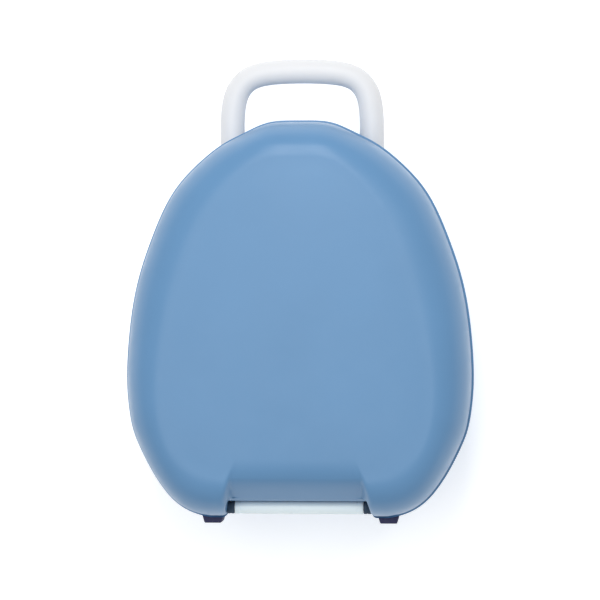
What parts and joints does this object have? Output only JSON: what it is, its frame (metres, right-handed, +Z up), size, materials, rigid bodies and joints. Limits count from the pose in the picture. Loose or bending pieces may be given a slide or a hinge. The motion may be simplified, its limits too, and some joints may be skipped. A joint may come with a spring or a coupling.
{
  "type": "portable potty chair",
  "caption": "Egg-shaped portable potty chair with a hinged lid, a bowl seat with a splash guard, a tubular carry handle and a push-button latch.",
  "frame": {"origin": "centre of the bounding box on the floor plane, under the middle of the closed case", "axes": "+Z up from the floor; +Y towards the hinge end; -Y towards the carry handle; X across the seat, the plane x = 0 is the mirror plane"},
  "size_m": [0.2552, 0.344, 0.155],
  "materials": {
    "case_blue": "satin moulded plastic",
    "ice_blue": "smooth moulded plastic",
    "handle_white": "satin moulded plastic",
    "inner_grey": "plain moulded plastic",
    "navy_rubber": "matt soft rubber",
    "seal_silicone": "matt silicone",
    "steel": "plated"
  },
  "bodies": {
    "base": {"base_shell": "case_blue", "bowl_insert": "ice_blue", "handle": "handle_white", "handle_crossbar": "inner_grey", "handle_pin_left": "steel", "handle_pin_right": "steel", "crossbar_screw_left": "steel", "crossbar_screw_right": "steel", "hinge_bracket": "ice_blue", "hinge_pin": "steel", "hinge_bush_left": "navy_rubber", "hinge_bush_right": "navy_rubber", "bracket_screw_left": "steel", "bracket_screw_right": "steel", "latch_housing": "inner_grey", "latch_spring": "steel", "standing_foot_left": "navy_rubber", "standing_foot_right": "navy_rubber", "floor_pad_front_left": "navy_rubber", "floor_pad_front_right": "navy_rubber", "floor_pad_rear_left": "navy_rubber", "floor_pad_rear_right": "navy_rubber", "base_screw_front_left": "steel", "base_screw_front_right": "steel", "base_screw_rear_left": "steel", "base_screw_rear_right": "steel"},
    "lid": {"lid_shell": "case_blue", "lid_liner": "ice_blue", "lid_seal": "seal_silicone", "latch_hook": "inner_grey", "hook_screw": "steel", "lid_screw_front_left": "steel", "lid_screw_front_right": "steel", "lid_screw_rear_left": "steel", "lid_screw_rear_right": "steel"},
    "latch_button": {"latch_button": "handle_white"}
  },
  "joints": [
    {"name": "lid_hinge", "type": "hinge", "parent": "base", "child": "lid", "pos_m": [0, 0.1586, 0.11], "axis": [-1, 0, 0], "range_deg": [0, 105]},
    {"name": "latch_press", "type": "slide", "parent": "base", "child": "latch_button", "axis": [0, 1, 0], "range_m": [0, 0.0035], "stiffness_N_per_m": 400, "springref_m": -0.002, "deforming": ["latch_spring"]}
  ]
}
